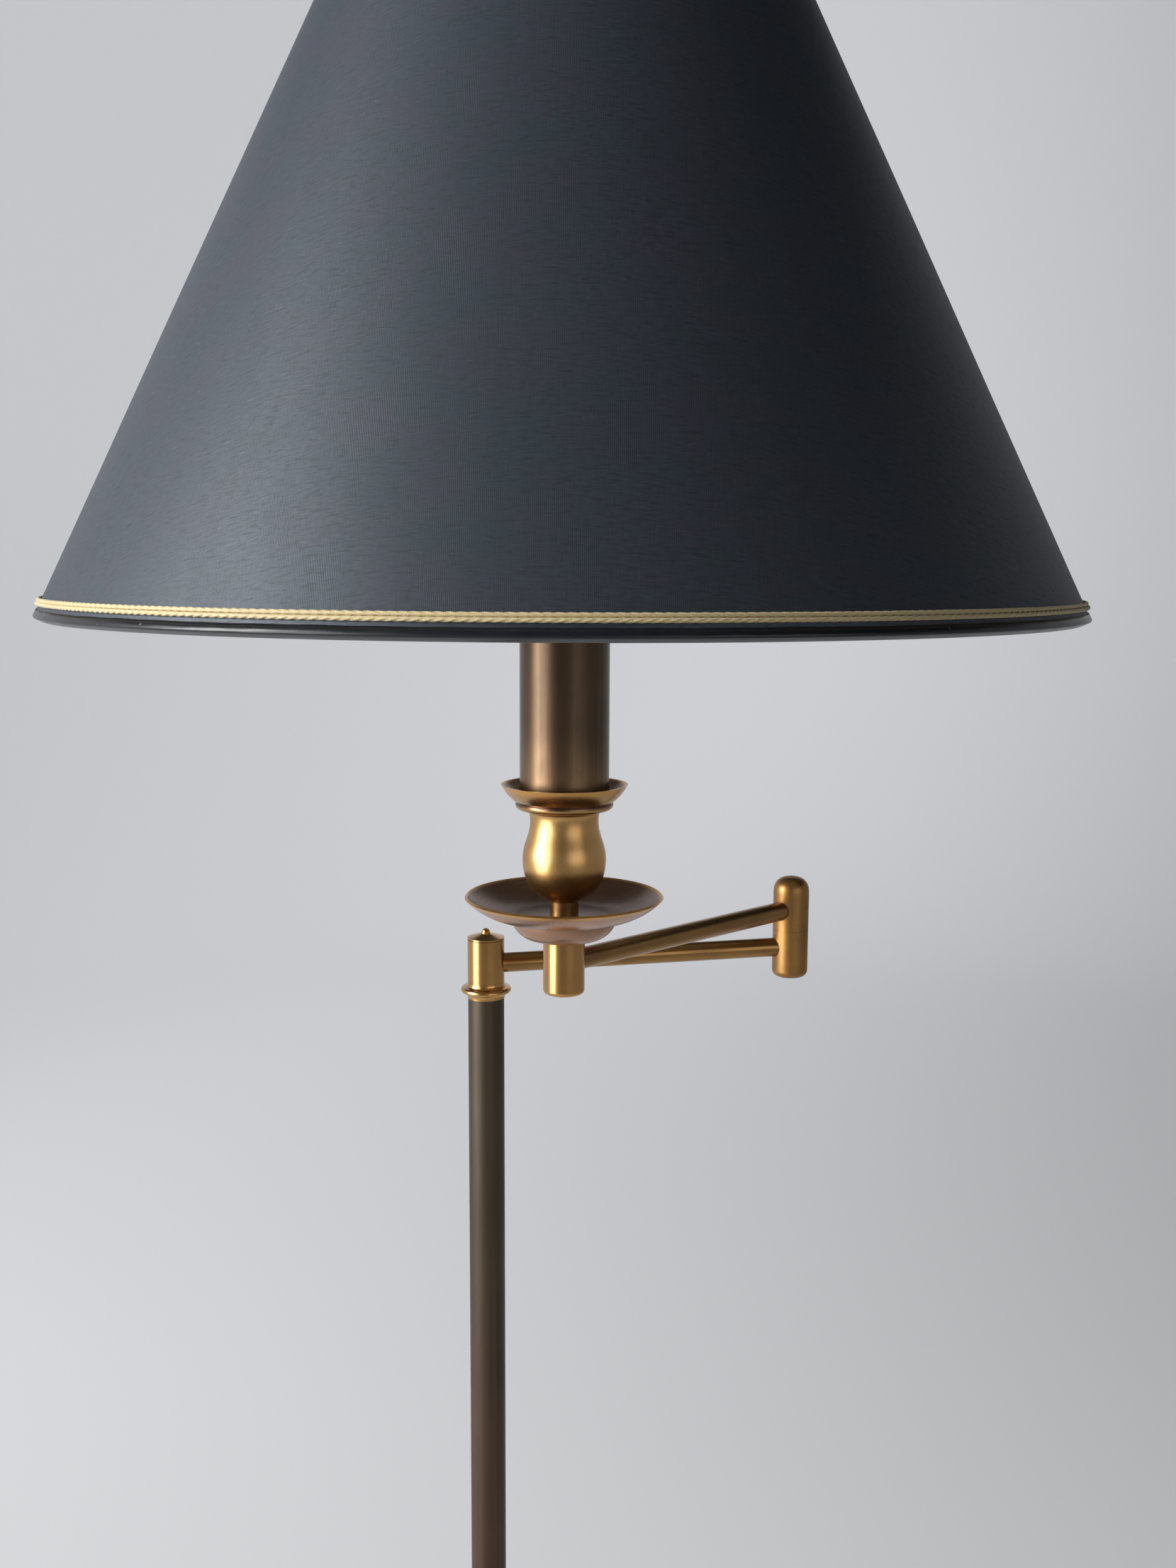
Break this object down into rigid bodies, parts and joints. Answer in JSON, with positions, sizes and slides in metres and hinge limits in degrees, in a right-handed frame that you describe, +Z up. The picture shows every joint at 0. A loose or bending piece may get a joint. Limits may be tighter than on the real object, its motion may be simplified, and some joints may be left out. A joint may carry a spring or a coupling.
{
  "type": "swing arm floor lamp",
  "caption": "Brass floor lamp with a folding swing arm, a candle stem with a drip dish, and a black conical fabric shade on a harp.",
  "frame": {"origin": "on the floor, at the centre of the base's underside, on the pole's axis", "axes": "+Z up along the pole; the picture is taken from the -Y side with +X to the right"},
  "size_m": [0.463, 0.463, 1.4735],
  "materials": {
    "pole_bronze": "dark brown patina under a thin satin lacquer",
    "satin_brass": "brushed along or around, lacquered, lightly tarnished",
    "polished_brass": "polished with a warm gold cast",
    "aged_brass": "spun, brown antique patina with a pinkish cast",
    "socket_brass": "bright stamped brass",
    "bare_steel": "zinc plated",
    "cast_iron": "rough casting, black",
    "felt": "dense wool felt",
    "fibre": "vulcanised fibre",
    "black_plastic": "moulded phenolic",
    "frosted_glass": "frosted inside",
    "shade_cloth": "black silk with a fine slub weave, stretched flat",
    "shade_backing": "cream styrene film",
    "binding_tape": "glossy black satin tape",
    "gold_cord": "twisted satin cord"
  },
  "bodies": {
    "base": {"base_felt": "felt", "base_shell": "aged_brass", "base_weight": "cast_iron", "cord_bushing": "black_plastic", "clamp_washer": "bare_steel", "clamp_nut": "bare_steel", "pole_pipe": "bare_steel", "pole_tube": "pole_bronze", "pole_seat": "satin_brass", "pole_collar": "satin_brass", "pivot_stem": "bare_steel", "thrust_washer": "fibre", "pole_spring": "bare_steel", "pole_cap": "satin_brass"},
    "lower_arm": {"pole_hub": "satin_brass", "lower_arm_tube": "satin_brass", "lower_knuckle": "satin_brass", "elbow_plug": "satin_brass", "elbow_pin": "bare_steel", "elbow_washer": "fibre", "elbow_spring": "bare_steel", "elbow_nut": "bare_steel"},
    "upper_arm": {"upper_knuckle": "satin_brass", "elbow_dome": "satin_brass", "upper_arm_tube": "satin_brass", "head_hub": "satin_brass", "head_plug": "satin_brass", "head_nut": "bare_steel", "head_pipe": "bare_steel", "dish_foot": "aged_brass", "drip_dish": "aged_brass", "neck_spacer": "polished_brass", "vase": "polished_brass", "candle_cup": "polished_brass", "candle_tube": "aged_brass", "tube_cap": "aged_brass", "harp_saddle": "socket_brass", "harp": "socket_brass", "harp_sleeves": "socket_brass", "finial": "satin_brass", "socket_cap": "socket_brass", "socket_shell": "socket_brass", "socket_liner": "fibre", "socket_body": "black_plastic", "screw_shell": "socket_brass", "center_contact": "bare_steel", "bulb_base": "socket_brass", "bulb_glass": "frosted_glass"},
    "switch_key": {"switch_key": "black_plastic"},
    "shade": {"shade_cover": "shade_cloth", "shade_backing": "shade_backing", "bottom_ring": "bare_steel", "shade_spider": "bare_steel", "bottom_binding": "binding_tape", "top_binding": "binding_tape", "bottom_trim": "gold_cord", "top_trim": "gold_cord"}
  },
  "joints": [
    {"name": "pole_swivel", "type": "hinge", "parent": "base", "child": "lower_arm", "pos_m": [0, 0, 0.97], "axis": [0, 0, 1], "range_deg": [-165, 165]},
    {"name": "elbow_swivel", "type": "hinge", "parent": "lower_arm", "child": "upper_arm", "pos_m": [0.16509, 0.04055, 0.98], "axis": [0, 0, 1], "range_deg": [-21, 320]},
    {"name": "switch_turn", "type": "hinge", "parent": "upper_arm", "child": "switch_key", "pos_m": [0.04219, -0.0769, 1.2015], "axis": [0, -1, 0], "continuous": true},
    {"name": "shade_turn", "type": "hinge", "parent": "upper_arm", "child": "shade", "pos_m": [0.04219, -0.0769, 1.4405], "axis": [0, 0, 1], "continuous": true}
  ]
}
